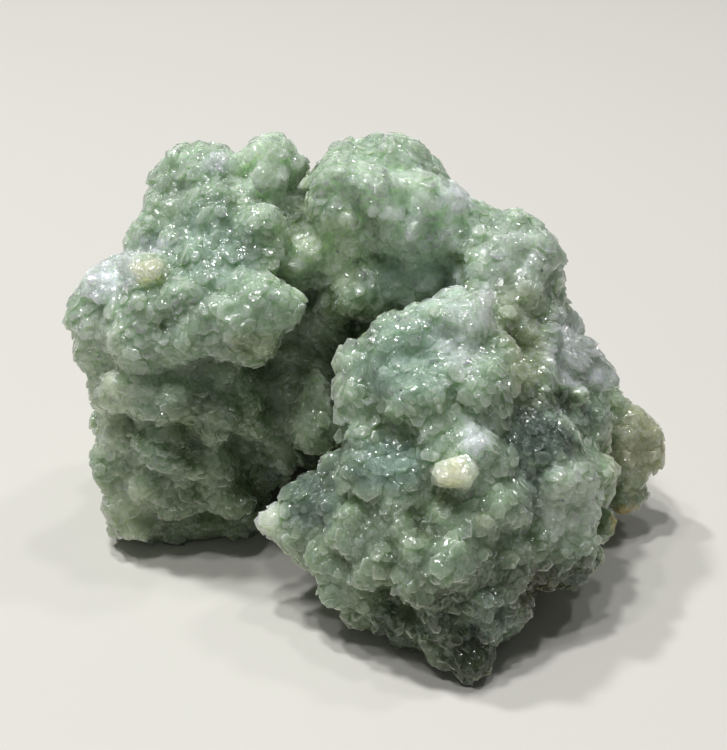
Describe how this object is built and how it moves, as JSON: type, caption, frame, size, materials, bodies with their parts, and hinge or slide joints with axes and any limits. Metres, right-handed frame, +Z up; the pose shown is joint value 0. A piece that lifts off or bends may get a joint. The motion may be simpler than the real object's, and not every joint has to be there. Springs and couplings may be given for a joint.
{
  "type": "prehnite cluster",
  "caption": "Hand specimen of pale green prehnite, intergrown crystals in rounded lumps around a deep recess, resting on its broken base.",
  "frame": {"origin": "centre of the bounding box's footprint, on the surface that the specimen rests on", "axes": "+Z up as it rests, the crystal-covered show face towards -Y, its long side along X"},
  "size_m": [0.1154, 0.0868, 0.0777],
  "materials": {
    "prehnite": "translucent, waxy to glassy crystal faces"
  },
  "bodies": {
    "root": {"prehnite_cluster": "prehnite"}
  },
  "joints": []
}
